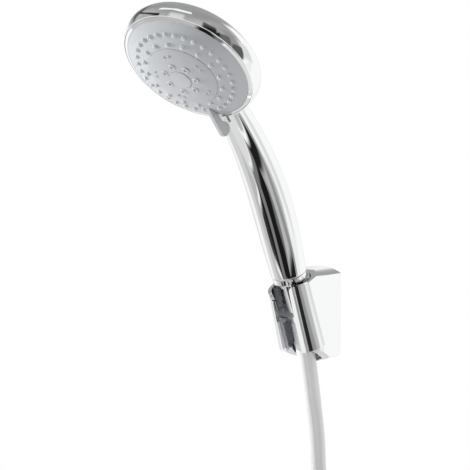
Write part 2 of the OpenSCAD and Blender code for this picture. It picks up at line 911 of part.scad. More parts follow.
// Least gap between the coil's turns, and between them and the hose that comes down to them
coil_line = [for (a = [0 : 7.5 : coil_turn]) coil_at(a)];
turn_gap = min([for (i = [0 : len(coil_line) - 1], j = [i + 24 : 1 : len(coil_line) - 1])
    norm(coil_line[i] - coil_line[j])]) - 2 * hose_r;
run_gap = min([for (i = [24 : len(coil_line) - 1], p = hose_line) norm(coil_line[i] - p)]) - 2 * hose_r;
run_length = sum_of([for (i = [1 : len(hose_line) - 1]) norm(hose_line[i] - hose_line[i - 1])]);
function sum_of(v, i = 0) = i < len(v) ? v[i] + sum_of(v, i + 1) : 0;
echo(turn_gap = turn_gap, run_gap = run_gap, run_length = run_length,
    hose_length = run_length + coil_r * coil_turn * PI / 180 + 4 * hose_r + sleeve_len + 12);

wall_plate();
bracket_shell();
cradle_liner();
lock_screw();
handset_shell();
head_trim_ring();
inlet_spigot();
inlet_filter();
water_tube();
water_manifold();
selector_seal();
detent_spring();
detent_pin();
face_screw();
spray_face();
selector_lever();
outer_nozzles();
inner_nozzles();
centre_plate();
jet_insert();
mist_nozzles();
centre_cap();
valve_plate();
face_seal();
cone_nut();
hose_washer();
hose_top_ferrule();
hose_run();
hose_coil();
coil_tie();
hose_end_ferrule();
valve_washer();
valve_nut();
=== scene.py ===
# %% [markdown]
# Start from the engineering model. Every piece of the shower set already has its place in one
# shared frame, in metres, so nothing is fitted by eye. The box is noted now, before anything
# is dressed.

# %% Load the frame
from math import cos, pi, radians, sin, sqrt, tan

import bmesh
import bpy
import numpy as np
from mathutils import Matrix, Vector


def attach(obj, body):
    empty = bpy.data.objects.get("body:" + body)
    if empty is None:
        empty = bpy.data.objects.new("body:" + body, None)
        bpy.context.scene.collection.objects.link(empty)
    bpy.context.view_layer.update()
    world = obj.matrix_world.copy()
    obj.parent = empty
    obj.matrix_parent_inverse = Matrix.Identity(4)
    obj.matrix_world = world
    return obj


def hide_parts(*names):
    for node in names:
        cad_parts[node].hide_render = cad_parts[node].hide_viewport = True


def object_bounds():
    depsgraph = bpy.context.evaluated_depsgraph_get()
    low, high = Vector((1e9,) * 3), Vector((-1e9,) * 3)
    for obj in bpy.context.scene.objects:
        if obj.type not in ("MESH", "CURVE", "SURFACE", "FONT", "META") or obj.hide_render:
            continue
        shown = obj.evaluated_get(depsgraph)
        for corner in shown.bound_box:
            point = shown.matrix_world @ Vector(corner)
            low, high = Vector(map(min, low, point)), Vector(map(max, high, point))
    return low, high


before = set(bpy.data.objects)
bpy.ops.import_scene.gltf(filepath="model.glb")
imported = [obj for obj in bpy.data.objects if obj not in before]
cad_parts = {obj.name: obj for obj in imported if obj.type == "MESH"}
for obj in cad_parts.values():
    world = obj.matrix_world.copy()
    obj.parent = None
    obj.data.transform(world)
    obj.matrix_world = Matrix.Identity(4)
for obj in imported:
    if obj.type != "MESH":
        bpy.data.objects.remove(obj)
cad_box = [list(corner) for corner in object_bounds()]
print("CAD nodes:", len(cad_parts), "box:", cad_box)

# %% [markdown]
# The camera is a long lens a metre and a half away, a little above the middle of the handset
# and off to its right. A long lens keeps the round face from swelling. Its three axes are
# written out as a matrix, because they came from a careful solve and a tracking constraint
# would only hide them.

# %% Camera
RIGHT = Vector((0.81915, 0.57358, 0.0))
UP = Vector((-0.04001, 0.05714, 0.99756))
BACK = Vector((0.57218, -0.81715, 0.06976))
CAMERA_AT = (0.7655, -1.2102, 0.1611)
LENS_LENGTH, SENSOR_WIDTH = 139.4, 36.0

camera_data = bpy.data.cameras.new("Long lens")
camera_data.lens = LENS_LENGTH
camera_data.sensor_width = SENSOR_WIDTH
camera = bpy.data.objects.new("Camera", camera_data)
axes = Matrix((RIGHT, UP, BACK)).transposed().to_4x4()
camera.matrix_world = Matrix.Translation(CAMERA_AT) @ axes
bpy.context.scene.collection.objects.link(camera)
bpy.context.scene.camera = camera
print("camera at", tuple(round(v, 3) for v in camera.location))

# %% [markdown]
# All drawings of this set are in millimetres, and two slanted axes carry almost everything:
# the cradle's axis, which the grip and its nut share, and the head's axis, along which the
# water sprays. Each becomes one placing matrix, so a profile is drawn once, upright, and then
# stood where it belongs.

# %% The two slanted axes
MM = 0.001
TILT_DEGREES, SPRAY_DEGREES = 22.5, 46.0
TILT, SPRAY = radians(TILT_DEGREES), radians(SPRAY_DEGREES)
GRIP_END = np.array([0.0, -45.0, 34.5])
HEAD_MIDDLE = np.array([0.0, -175.2, 188.7])
GRIP_UP = np.array([0.0, -sin(TILT), cos(TILT)])
FACE_OUT = np.array([0.0, -cos(SPRAY), -sin(SPRAY)])
FACE_DOWN = np.array([0.0, sin(SPRAY), -cos(SPRAY)])


def standing(point, tilt_x):
    """A placing matrix: local millimetres to metres, tilted about X and moved to a point."""
    return (Matrix.Translation(Vector(point) * MM) @ Matrix.Rotation(tilt_x, 4, "X")
            @ Matrix.Scale(MM, 4))


ON_AXIS = standing(GRIP_END, TILT)
ON_HEAD = standing(HEAD_MIDDLE, pi / 2 + SPRAY)
print("cradle leans", TILT_DEGREES, "degrees; spray points", SPRAY_DEGREES, "degrees down")

# %% [markdown]
# The hose is one and a half metres of smooth, flexible tube. It leaves the nut in line with
# the grip, bends down under its own weight close to the wall, and the length that isn't in use
# is wound into a round coil with a strap. It could be a swept mesh, but a Bezier curve with a
# round bevel keeps the centre line itself, which is what its length is measured along.

# %% Hose route
HOSE_R = 7.3
HOSE_START = 24.0
ROUTE = [
    tuple(GRIP_END - HOSE_START * GRIP_UP),
    (0, -27, -9), (0, -21, -28), (0.2, -16.4, -48), (0.5, -11.7, -72), (1.9, -8.8, -98),
    (3, -8, -125), (5.2, -8, -143), (11.5, -8, -160), (22.5, -8, -174.5), (37, -8, -185.5),
    (44, -8, -189.5),
]
ROUTE_STEPS = 3                    # points for each stretch of the route
COIL_R, COIL_PITCH = 80.0, 15.6
COIL_FROM, COIL_TURN, COIL_STEP = 60.0, 870.0, 15      # degrees
TAIL_OUT, TAIL_TURN = 8.0, 150.0   # how far the tail steps out, over so many degrees


def through(points, i, t):
    """A point of the smooth curve through the points, i whole points and a share t along."""
    a, b = points[max(i - 1, 0)], points[i]
    c, d = points[i + 1], points[min(i + 2, len(points) - 1)]
    m0, m1 = (c - a) / 2, (d - b) / 2
    return ((2 * t**3 - 3 * t**2 + 1) * b + (t**3 - 2 * t**2 + t) * m0
            + (3 * t**2 - 2 * t**3) * c + (t**3 - t**2) * m1)


def coil_point(turned, middle):
    """A point of the coil, so many degrees round; its tail steps clear of the other turns."""
    out = max(0.0, (turned - COIL_TURN + TAIL_TURN) / TAIL_TURN)
    angle = radians(COIL_FROM - turned)
    return middle + np.array([
        COIL_R * cos(angle),
        -COIL_PITCH * turned / 360 - TAIL_OUT * out * out * (3 - 2 * out),
        COIL_R * sin(angle),
    ])


route = [np.array(p, float) for p in ROUTE]
coil_way = np.array([sin(radians(COIL_FROM)), 0, -cos(radians(COIL_FROM))])
coil_middle = route[-1] + 2 * HOSE_R * coil_way - COIL_R * np.array(
    [cos(radians(COIL_FROM)), 0, sin(radians(COIL_FROM))])
last_angle = radians(COIL_FROM - COIL_TURN)
tail_way = np.array([sin(last_angle), 0, -cos(last_angle)])
hose_line = [through(route, i, j / ROUTE_STEPS)
             for i in range(len(route) - 1) for j in range(ROUTE_STEPS)]
hose_line += [route[-1]]
hose_line += [coil_point(a, coil_middle) for a in np.arange(0, COIL_TURN + 1, COIL_STEP)]
hose_line += [coil_point(COIL_TURN, coil_middle) + 2 * HOSE_R * tail_way]
centre_length = sum(np.linalg.norm(b - a) for a, b in zip(hose_line, hose_line[1:]))
print("hose centre line", round(centre_length), "mm in", len(hose_line), "points")

# %% Hose curve
hose_data = bpy.data.curves.new("Hose", "CURVE")
hose_data.dimensions = "3D"
hose_data.bevel_depth = 1.0        # each knot's own radius gives the thickness
hose_data.bevel_resolution = 10
hose_data.resolution_u = 5
hose_data.use_fill_caps = True
hose_spline = hose_data.splines.new("BEZIER")
hose_spline.bezier_points.add(len(hose_line) - 1)
for knot, point in zip(hose_spline.bezier_points, hose_line):
    knot.co = Vector(point) * MM
    knot.radius = HOSE_R * MM
    knot.handle_left_type = knot.handle_right_type = "AUTO"
hose = bpy.data.objects.new("Flexible_hose", hose_data)
bpy.context.scene.collection.objects.link(hose)
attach(hose, "handset")
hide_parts("hose_run", "hose_coil")
print("hose curve:", len(hose_spline.bezier_points), "knots")

# %% [markdown]
# The set hangs in the open in front of white. A pale floor lies just under the coil and keeps
# the shadow that falls on it. Only near the set is it a lit surface: further off it glows to
# plain white, so it meets the backdrop without a line. Polished metal shows the studio rather
# than the floor, so the floor stays out of mirror reflections.

# %% Floor
def node_tree(owner):
    """The cleared node tree of a material, world or light."""
    owner.use_nodes = True
    owner.node_tree.nodes.clear()
    return owner.node_tree


def wire(tree, kind, inputs=None, **settings):
    """Adds a node, sets its properties, and links or sets its inputs by name or index."""
    made = tree.nodes.new(kind)
    for key, value in settings.items():
        setattr(made, key, value)
    for key, value in (inputs or {}).items():
        if isinstance(value, bpy.types.NodeSocket):
            tree.links.new(value, made.inputs[key])
        else:
            made.inputs[key].default_value = value
    return made


FLOOR_GAP = 0.0006
FLOOR_NEAR, FLOOR_FAR = 0.3, 1.0     # lit paper up to here, plain white from there
FLOOR_HALF = 30
PAPER = (0.9, 0.9, 0.9, 1)
floor_level = cad_box[0][2] - FLOOR_GAP
floor_mesh = bpy.data.meshes.new("Floor")
floor_mesh.from_pydata([(x * FLOOR_HALF, y * FLOOR_HALF, floor_level)
                        for x, y in ((-1, -1), (1, -1), (1, 1), (-1, 1))], [], [(0, 1, 2, 3)])
floor = bpy.data.objects.new("Floor", floor_mesh)
bpy.context.scene.collection.objects.link(floor)
floor.visible_glossy = False

paper = bpy.data.materials.new("Pale floor paper")
tree = node_tree(paper)
spot = wire(tree, "ShaderNodeTexCoord").outputs["Object"]
reach = wire(tree, "ShaderNodeVectorMath", {0: spot}, operation="LENGTH").outputs["Value"]
far = wire(tree, "ShaderNodeMapRange", {"Value": reach, "From Min": FLOOR_NEAR,
                                        "From Max": FLOOR_FAR}, interpolation_type="SMOOTHSTEP")
direct = wire(tree, "ShaderNodeLightPath").outputs["Is Camera Ray"]
glow_share = wire(tree, "ShaderNodeMath", {0: far.outputs[0], 1: direct}, operation="MULTIPLY")
matt = wire(tree, "ShaderNodeBsdfDiffuse", {"Color": PAPER})
glow = wire(tree, "ShaderNodeEmission", {"Color": (1, 1, 1, 1), "Strength": 1.0})
both = wire(tree, "ShaderNodeMixShader", {0: glow_share.outputs[0], 1: matt.outputs[0],
                                          2: glow.outputs[0]})
wire(tree, "ShaderNodeOutputMaterial", {"Surface": both.outputs[0]})
floor_mesh.materials.append(paper)
print("floor at z =", round(floor_level, 4))

# %% [markdown]
# Polished metal has no colour of its own: it is a picture of the room. A product studio for
# chrome is white paper all round with a few black and grey cards, placed so that their
# reflections draw the form. The same is done here: the world is white to the eye, an even
# level for soft light, and only mirror rays see the cards. Each card has an azimuth and an
# elevation, half a width and half a height, a tilt and a soft edge, all in degrees, and then
# its level. Later cards hang in front of earlier ones.

# %% Studio cards
CARDS = [
    # azimuth, elevation, half width, half height, tilt, soft, level
    (0, -84, 400, 26, 0, 5, 0.88),       # floor paper
    (-122, -40, 62, 26, 0, 6, 0.84),     # left of the set, low
    (0, 68, 400, 27, 0, 8, 0.62),        # dim ceiling
    (-150, 36, 28, 26, 0, 6, 0.64),      # behind, high
    (175, 52, 14, 20, 0, 6, 0.64),
    (-60, 4, 26, 30, 0, 12, 0.66),       # left wall
    (-10, 38, 16, 11, 0, 5, 0.86),       # window
    (-111, 25, 13, 10, 0, 4, 0.40),      # grey card on the left
    (-76, 32.5, 30, 1.3, 14, 0.7, 0.15),     # its dark rail
    (-100, 47, 13, 13, 0, 5, 0.59),
    (-112, -2, 26, 11, 0, 3, 1.0),       # white boards on the left
    (-108, -25, 30, 6, -4, 3, 1.0),
    (-104, -55, 17, 8, 0, 4, 1.0),
    (-142, -4, 30, 11, 0, 4, 0.97),      # white boards behind
    (149, -20, 40, 62, -22, 4, 1.0),     # white board on the right
    (-168, -10, 24, 32, 0, 5, 0.97),
    (112, -28, 19, 8, 22, 3, 0.95),
    (75, 64, 50, 14, 0, 6, 0.60),        # grey boards on the right, the lower the darker
    (86, 36, 27, 15, 0, 4, 0.65),
    (90, 16, 12, 17, 0, 4, 0.60),
    (120, 2, 13, 15, 0, 4, 0.88),
    (97, -5, 10.5, 9.5, 0, 1.5, 0.37),
    (92, -28, 14, 4, 0, 2, 0.58),
    (75, -1, 9, 20, -6, 3, 0.41),
    (58, -30, 8, 14, 0, 3, 0.46),
    (52, 28, 12, 7.5, -25, 2.5, 0.34),
    (-20, -51.3, 20, 3.6, -17, 0.8, 1.0),    # white frame of the grey cards under the grip
    (22, -54, 35, 8.2, 0, 0.8, 1.0),
    (72, -48, 27, 3.6, 31, 0.8, 1.0),
    (22, -54, 33, 6.6, 0, 1.5, 0.48),
    (-22, -48.6, 17, 3.4, -14, 1.2, 0.20),
    (0, -50.5, 11, 3.5, 0, 2, 0.50),
    (18, -24, 44, 7, 42, 3, 0.10),       # black cards
    (53, 6, 16, 15, 0, 2.5, 0.12),
    (51, 20, 11, 9, -18, 2, 0.14),
    (39, -49, 20, 5.5, 2, 1.5, 0.10),
    (75, -43.5, 25, 3.6, 27, 1.5, 0.12),
    (40, -38.5, 19, 2.6, 10, 1, 0.97),   # white edges between them
    (48, -37, 7, 3, 12, 1.2, 0.62),      # grey and dark cards for the bracket's tube
    (67, -31.5, 7.5, 4, 15, 1.4, 0.15),
    (79, -27, 5, 3.5, 15, 1.5, 0.58),
    (-3, 62.5, 27, 4.6, 0, 1.2, 1.0),    # softbox overhead
    (-46, 56.6, 20, 4.0, 21, 1.2, 1.0),
]
EVEN_LEVEL = 0.56      # of the soft light
BOARD_LEVEL = 0.74     # of the studio behind all the cards
SCREEN_OFFSET, SCREEN_POWER = 0.055, 2.4

world = bpy.data.worlds.new("Studio")
bpy.context.scene.world = world
tree = node_tree(world)
way = wire(tree, "ShaderNodeTexCoord").outputs["Generated"]
parts = wire(tree, "ShaderNodeSeparateXYZ", {0: way})
front = wire(tree, "ShaderNodeMath", {0: parts.outputs["Y"], 1: -1.0}, operation="MULTIPLY")
around = wire(tree, "ShaderNodeMath", {0: parts.outputs["X"], 1: front.outputs[0]},
              operation="ARCTAN2")
rise = wire(tree, "ShaderNodeMath", {0: parts.outputs["Z"]}, operation="ARCSINE")
angles = [wire(tree, "ShaderNodeMath", {0: a.outputs[0]}, operation="DEGREES")
          for a in (around, rise)]
bearing = wire(tree, "ShaderNodeCombineXYZ", {"X": angles[0].outputs[0],
                                              "Y": angles[1].outputs[0]}).outputs[0]


def seen(shade):
    """The light level that a screen shows as this share of white, near enough."""
    return ((shade + SCREEN_OFFSET) / (1 + SCREEN_OFFSET)) ** SCREEN_POWER


level = seen(BOARD_LEVEL)
for azimuth, elevation, half_w, half_h, tilt, soft, shade in CARDS:
    local = wire(tree, "ShaderNodeMapping", {
        "Vector": bearing, "Location": (azimuth, elevation, 0),
        "Rotation": (0, 0, radians(tilt)), "Scale": (half_w, half_h, 1)}, vector_type="TEXTURE")
    size = wire(tree, "ShaderNodeVectorMath", {0: local.outputs[0]}, operation="ABSOLUTE")
    sides = wire(tree, "ShaderNodeSeparateXYZ", {0: size.outputs[0]})
    edges = [wire(tree, "ShaderNodeMapRange", {
        "Value": sides.outputs[axis], "From Min": 1 - soft / half, "From Max": 1 + soft / half,
        "To Min": 1.0, "To Max": 0.0}, interpolation_type="SMOOTHSTEP").outputs[0]
        for axis, half in (("X", half_w), ("Y", half_h))]
    inside = wire(tree, "ShaderNodeMath", {0: edges[0], 1: edges[1]}, operation="MULTIPLY")
    level = wire(tree, "ShaderNodeMix", {"Factor": inside.outputs[0], 2: level, 3: seen(shade)},
                 data_type="FLOAT").outputs[0]
rays = wire(tree, "ShaderNodeLightPath")
lit = wire(tree, "ShaderNodeMix", {"Factor": rays.outputs["Is Glossy Ray"], 2: EVEN_LEVEL,
                                   3: level}, data_type="FLOAT").outputs[0]
clear = wire(tree, "ShaderNodeMath", {0: rays.outputs["Is Camera Ray"],
                                      1: rays.outputs["Is Transmission Ray"]}, operation="MAXIMUM")
strength = wire(tree, "ShaderNodeMix", {"Factor": clear.outputs[0], 2: lit, 3: 1.0},
                data_type="FLOAT").outputs[0]
sky = wire(tree, "ShaderNodeBackground", {"Color": (1, 1, 1, 1), "Strength": strength})
wire(tree, "ShaderNodeOutputWorld", {"Surface": sky.outputs[0]})
print("studio cards:", len(CARDS))

# %% [markdown]
# Two soft lamps shape what isn't polished. A fairly small one far out on the left gives every
# nozzle a light side and a dark side, and a wider, weaker one low in front lifts the face,
# which looks at the floor. Neither shows in the metal.

# %% Lamps
LAMP_TARGET = (0, -0.12, 0.12)
LAMPS = [
    # name, place and width in metres, power in watts
    ("Key", (-1.8, -0.85, 0.1), 0.22, 35),
    ("Fill", (-0.5, -1.4, -0.7), 0.8, 9),
]


def soft_lamp(name, place, size, power):
    """A round lamp that looks at the set and stays out of mirror reflections."""
    data = bpy.data.lights.new(name, "AREA")
    data.shape = "DISK"
    data.size = size
    data.energy = power
    lamp = bpy.data.objects.new(name, data)
    way = Vector(LAMP_TARGET) - Vector(place)
    turn = way.to_track_quat("-Z", "Y").to_matrix().to_4x4()
    lamp.matrix_world = Matrix.Translation(place) @ turn
    bpy.context.scene.collection.objects.link(lamp)
    lamp.visible_glossy = False


for lamp_settings in LAMPS:
    soft_lamp(*lamp_settings)
bpy.context.scene.view_settings.view_transform = "Standard"
print("lamps:", len(LAMPS))

# %% [markdown]
# Each finish is one small recipe of nodes: a slow noise that drifts the colour and the
# roughness, as moulding and handling do, and a fine noise for the grain of the surface.
# The noises work in the object's own metres, so grain keeps its real size on every piece.
# After its name and colour each finish gives its roughness, its share of metal, the drift of
# the colour and the spread of the roughness.

# %% Finishes
PATCH_LOW, PATCH_HIGH = 0.3, 0.7     # the noise stays mostly between these
SWELL_STRENGTH, GRAIN_STRENGTH = 0.2, 0.35
COAT_ROUGHNESS = 0.06


def finish(name, colour, roughness, metallic=0.0, drift=0.05, spread=0.04, patch=45.0,
           grain=1400.0, depth=0.0, coat=0.0, wave=0.0):
    """A material: colour drift and roughness spread over patches, and a bump of fine grain."""
    made = bpy.data.materials.new(name)
    tree = node_tree(made)
    spot = wire(tree, "ShaderNodeTexCoord").outputs["Object"]
    slow = wire(tree, "ShaderNodeTexNoise", {"Vector": spot, "Scale": patch, "Detail": 3.0})
    fine = wire(tree, "ShaderNodeTexNoise", {"Vector": spot, "Scale": grain, "Detail": 2.0})
    pale, deep = ([min(1.0, c * k) for c in colour] + [1] for k in (1 + drift, 1 - drift))
    tint = wire(tree, "ShaderNodeMix", {"Factor": slow.outputs[0], 6: deep, 7: pale},
                data_type="RGBA")
    rough = wire(tree, "ShaderNodeMapRange", {
        "Value": slow.outputs[0], "From Min": PATCH_LOW, "From Max": PATCH_HIGH,
        "To Min": max(0.0, roughness - spread), "To Max": roughness + spread})
    shader = wire(tree, "ShaderNodeBsdfPrincipled", {
        "Base Color": tint.outputs[2], "Roughness": rough.outputs[0], "Metallic": metallic,
        "Coat Weight": coat, "Coat Roughness": COAT_ROUGHNESS})
    normal = None
    if wave:
        swell = wire(tree, "ShaderNodeBump", {
            "Height": slow.outputs[0], "Strength": SWELL_STRENGTH, "Distance": wave})
        normal = swell.outputs[0]
    if depth:
        bump = wire(tree, "ShaderNodeBump", {
            "Height": fine.outputs[0], "Strength": GRAIN_STRENGTH, "Distance": depth})
        if normal:
            tree.links.new(normal, bump.inputs["Normal"])
        normal = bump.outputs[0]
    if normal:
        tree.links.new(normal, shader.inputs["Normal"])
    wire(tree, "ShaderNodeOutputMaterial", {"Surface": shader.outputs[0]})
    return made


CHROME = finish("Bright chrome plate", (0.93, 0.935, 0.94), 0.035, 1.0, 0.01, 0.02,
                patch=30, wave=0.00012)
TRIM_CHROME = finish("Bright chrome trim", (0.95, 0.95, 0.955), 0.05, 1.0, 0.01, 0.02)
FACE = finish("Satin silver-grey face", (0.60, 0.62, 0.64), 0.36, 0.25, 0.03, 0.05,
              patch=60, grain=2600, depth=0.00003)
PLATE = finish("Satin grey centre plate", (0.56, 0.575, 0.60), 0.33, 0.25, 0.03, 0.05,
               patch=80, grain=2600, depth=0.00003)
CAP = finish("Satin grey cap", (0.58, 0.595, 0.62), 0.3, 0.25, 0.03, 0.04,
             patch=120, grain=2600, depth=0.00002)
LEVER = finish("Grey lever plastic", (0.58, 0.587, 0.6), 0.38, 0.1, 0.04, 0.05,
               patch=110, grain=2000, depth=0.00004)
RUBBER = finish("Grey nozzle rubber", (0.7, 0.715, 0.73), 0.5, 0.0, 0.08, 0.06,
                patch=260, grain=3000, depth=0.00005)
JET = finish("Pale jet plastic", (0.58, 0.595, 0.61), 0.3, 0.1, 0.05, 0.05, patch=260)
LINER = finish("Slate grey liner plastic", (0.62, 0.64, 0.68), 0.3, 0.1, 0.05, 0.05,
               patch=90, coat=0.3)
DARK_PLASTIC = finish("Dark moulded plastic", (0.06, 0.062, 0.066), 0.5, 0.0, 0.1, 0.07,
                      patch=80, depth=0.00006)
WHITE_PLASTIC = finish("White moulded plastic", (0.75, 0.75, 0.73), 0.45, 0.0, 0.03, 0.06,
                       patch=70, depth=0.00004)
SEAL = finish("Black seal rubber", (0.025, 0.025, 0.027), 0.7, 0.0, 0.15, 0.08,
              patch=160, depth=0.00006)
STEEL = finish("Bright steel", (0.62, 0.62, 0.63), 0.28, 1.0, 0.05, 0.08, patch=200,
               depth=0.00002)
BRASS = finish("Turned brass", (0.72, 0.56, 0.28), 0.3, 1.0, 0.06, 0.08, patch=160,
               depth=0.00003)
HOSE = finish("Pearl silver hose", (0.97, 0.972, 0.975), 0.17, 0.12, 0.012, 0.03, patch=50,
              coat=0.5)
hose_data.materials.append(HOSE)
print("finishes:", len(bpy.data.materials))

# %% [markdown]
# Most pieces of a shower set are turned: a profile spun round an axis. Real edges are never
# knife-sharp, and in chrome the little rounding is what catches the light, so a helper rounds
# each corner of a profile that is given a radius before it is spun. Normals are weighted by area
# to keep flats flat.

# %% Mesh helpers
SIDE_SHARE = 0.48      # the most of a side that one rounded corner may take
NORMAL_WEIGHT = 60
FIT = 0.05             # play between parts that sit in one another, in millimetres


def rounded(corners, steps=4):
    """A closed profile from corners (r, z) or (r, z, radius): each radius becomes an arc."""
    out = []
    count = len(corners)
    for i, corner in enumerate(corners):
        here = np.array(corner[:2], float)
        if len(corner) < 3:
            out.append(tuple(here))
            continue
        before = np.array(corners[i - 1][:2], float) - here
        after = np.array(corners[(i + 1) % count][:2], float) - here
        lengths = np.linalg.norm(before), np.linalg.norm(after)
        before, after = before / lengths[0], after / lengths[1]
        half = np.arccos(np.clip(before @ after, -1, 1)) / 2
        back = min(corner[2] / max(tan(half), 1e-6), SIDE_SHARE * min(lengths))
        start, end = here + before * back, here + after * back
        for k in range(steps + 1):
            t = k / steps
            out.append(tuple((1 - t)**2 * start + 2 * t * (1 - t) * here + t * t * end))
    return out


def new_piece(name, verts, faces, place, sharp=32):
    """A mesh object from millimetre vertices, placed in the frame and shaded smooth."""
    mesh = bpy.data.meshes.new(name)
    mesh.from_pydata([place @ Vector(v) for v in verts], [], faces)
    mesh.validate()
    mesh.shade_smooth()
    mesh.set_sharp_from_angle(angle=radians(sharp))
    made = bpy.data.objects.new(name, mesh)
    bpy.context.scene.collection.objects.link(made)
    return made


def turned(profile, sides, at=(0, 0), first=0):
    """Vertices and faces of a closed profile of (r, z) spun round z; r = 0 closes to a point."""
    verts, rings = [], []
    for r, z in profile:
        if r < 1e-6:
            rings.append([first + len(verts)] * sides)
            verts.append((at[0], at[1], z))
        else:
            rings.append([first + len(verts) + k for k in range(sides)])
            verts += [(at[0] + r * cos(2 * pi * k / sides), at[1] + r * sin(2 * pi * k / sides), z)
                      for k in range(sides)]
    faces = []
    for a, b in zip(rings, rings[1:] + rings[:1]):
        if a[0] == a[1] and b[0] == b[1]:
            continue
        for k in range(sides):
            n = (k + 1) % sides
            ring = [a[k], a[n], b[n], b[k]]
            faces.append(list(dict.fromkeys(ring)))
    return verts, faces


def weigh_normals(piece):
    """Weights a piece's normals by area, so that flats stay flat beside small roundings."""
    made = piece.modifiers.new("Flat faces stay flat", "WEIGHTED_NORMAL")
    made.keep_sharp = True
    made.weight = NORMAL_WEIGHT
    return piece


def fit(piece, body, material, slot, *nodes):
    """Dresses a piece, hangs it on its body, and lets it stand for its CAD nodes."""
    piece.data.materials.clear()
    piece.data.materials.append(material)
    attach(piece, body)
    if nodes:
        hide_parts(*nodes)
    print(piece.name, "->", body, len(piece.data.vertices), "points")


def spin(name, profile, place, sides):
    """A turned piece from its profile."""
    return weigh_normals(new_piece(name, *turned(profile, sides), place))


def faces_outward(piece):
    """Turns a closed mesh's faces outwards."""
    work = bmesh.new()
    work.from_mesh(piece.data)
    bmesh.ops.recalc_face_normals(work, faces=work.faces)
    work.to_mesh(piece.data)
    work.free()
    return piece


def round_edges(piece, width, sharp):
    """Gives every edge sharper than so many degrees a small bevel, its width in millimetres."""
    bevel = piece.modifiers.new("Rounded edges", "BEVEL")
    bevel.width = width * MM
    bevel.segments = 3
    bevel.limit_method = "ANGLE"
    bevel.angle_limit = radians(sharp)
    return piece


print("mesh helpers ready, play between parts", FIT, "mm")

# %% [markdown]
# The handset's outside is one chromed moulding: a shallow bowl behind the spray face and a
# grip that swells where the palm holds it. A boolean would leave a hard crease where neck
# meets bowl, and the real moulding has a small fillet there. So the grip is lofted line by
# line: each line is followed to where it meets the bowl and flared there, until it lies
# tangent to the bowl's skin. The bowl is a turned shell.

# %% Bowl profile
HEAD_R, HEAD_WAIST, HEAD_BACK, WALL = 52.0, 9.0, 21.0, 2.5
LIP_R, LIP_DEPTH = 50.1, 1.0
TRIM_IN, TRIM_OUT = 46.62, 49.5


def bowl_outline(less, steps=18):
    """The bowl's side from the lip to the pole, with so much taken off its radius."""
    round_r = HEAD_R - less - LIP_R
    side = [(LIP_R + round_r * sin(a), -LIP_DEPTH - (HEAD_WAIST - LIP_DEPTH) * a / (pi / 2))
            for a in np.linspace(0, pi / 2, steps)]
    back = [((HEAD_R - less) * cos(a), -HEAD_WAIST - (HEAD_BACK - less) * sin(a))
            for a in np.linspace(0, pi / 2, 2 * steps)[1:-1]]
    return side + back + [(0.0, -HEAD_WAIST - HEAD_BACK + less)]


outside = bowl_outline(0)
inside = [(TRIM_OUT + FIT, -LIP_DEPTH), (TRIM_OUT + FIT, -HEAD_WAIST)]
inside += [p for p in bowl_outline(WALL) if p[1] < -HEAD_WAIST]
bowl_profile = outside + inside[::-1]
print("bowl profile:", len(bowl_profile), "points")

# %% Grip and neck
NECK_DOWN, NECK_BEHIND = 45, 17              # from the middle of the head
LOWER_PULL, UPPER_PULL = 57.3, 70            # how strongly each end's direction holds
NECK_END = HEAD_MIDDLE + NECK_DOWN * FACE_DOWN - NECK_BEHIND * FACE_OUT
GRIP_CURVE = [GRIP_END, GRIP_END + LOWER_PULL * GRIP_UP, NECK_END + UPPER_PULL * FACE_DOWN,
              NECK_END]
RUN_ON = 100                                 # millimetres for one t past the neck
GRIP_RADII = [13.8, 18.6, 14.7, 11.0]
GRIP_SIDES = 96
CROSSWISE = np.array([1.0, 0.0, 0.0])


def cubic(p, t):
    """A cubic Bezier value between p[0] and p[3]."""
    return (1 - t)**3 * p[0] + 3 * t * (1 - t)**2 * p[1] + 3 * t * t * (1 - t) * p[2] + t**3 * p[3]


def cubic_way(p, t):
    """The unit direction of the same curve."""
    way = (1 - t)**2 * (p[1] - p[0]) + 2 * t * (1 - t) * (p[2] - p[1]) + t * t * (p[3] - p[2])
    return way / np.linalg.norm(way)


def grip_line(angle, t):
    """A point of the grip's skin and its outward direction; past t = 1 it runs straight on."""
    if t <= 1:
        middle, way, r = cubic(GRIP_CURVE, t), cubic_way(GRIP_CURVE, t), cubic(GRIP_RADII, t)
    else:
        middle, way, r = NECK_END - (t - 1) * RUN_ON * FACE_DOWN, -FACE_DOWN, GRIP_RADII[3]
    aside = np.cross(way, CROSSWISE)
    out = cos(angle) * CROSSWISE + sin(angle) * aside / np.linalg.norm(aside)
    return middle + r * out, out


bowl_shape = np.array(outside + [(0.0, -LIP_DEPTH)])
BOWL_HEART = np.array([0, -12])              # a point well inside the bowl


def off_bowl(point):
    """Distance outside the bowl's skin, and the direction straight away from it."""
    local = point - HEAD_MIDDLE
    z = local @ FACE_OUT
    flat = local - z * FACE_OUT
    r = np.linalg.norm(flat)
    here = np.array([r, z])
    a = bowl_shape[:-1]
    b = bowl_shape[1:]
    along = np.clip(((here - a) * (b - a)).sum(1) / ((b - a)**2).sum(1), 0, 1)
    near = a + along[:, None] * (b - a)
    gaps = np.linalg.norm(here - near, axis=1)
    best = int(np.argmin(gaps))
    side = b[best] - a[best]
    out = np.array([-side[1], side[0]]) / np.linalg.norm(side)
    if out @ (near[best] - BOWL_HEART) < 0:
        out = -out
    sign = 1.0 if (here - near[best]) @ out > 0 else -1.0
    return sign * gaps[best], out[0] * flat / max(r, 1e-9) + out[1] * FACE_OUT


